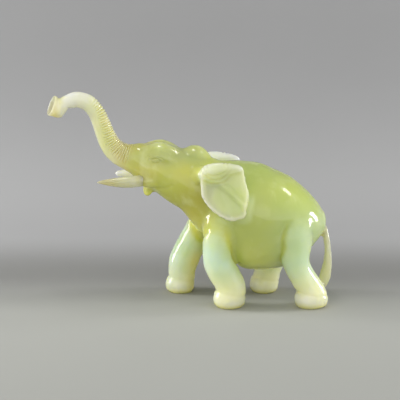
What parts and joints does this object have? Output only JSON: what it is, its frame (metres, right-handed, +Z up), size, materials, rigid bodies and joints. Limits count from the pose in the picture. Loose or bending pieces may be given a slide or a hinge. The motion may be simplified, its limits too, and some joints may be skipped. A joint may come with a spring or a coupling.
{
  "type": "jade elephant figurine",
  "caption": "Small polished jade elephant walking with its trunk raised, carved from one pale green stone, with two tusks cemented into sockets; a shelf ornament.",
  "frame": {"origin": "on the surface that the soles stand on, below the middle of the whole figure", "axes": "+Z up, +X from the trunk's tip towards the tail, so the head points along -X, and -Y is the elephant's left side"},
  "size_m": [0.113, 0.0414, 0.0842],
  "materials": {
    "jade": "polished translucent pale green stone, not clear",
    "tusk_stone": "polished translucent cream stone, not clear",
    "cement": "dull set cement"
  },
  "bodies": {
    "root": {"elephant_carving": "jade", "left_tusk": "tusk_stone", "right_tusk": "tusk_stone", "left_tusk_cement": "cement", "right_tusk_cement": "cement"}
  },
  "joints": []
}
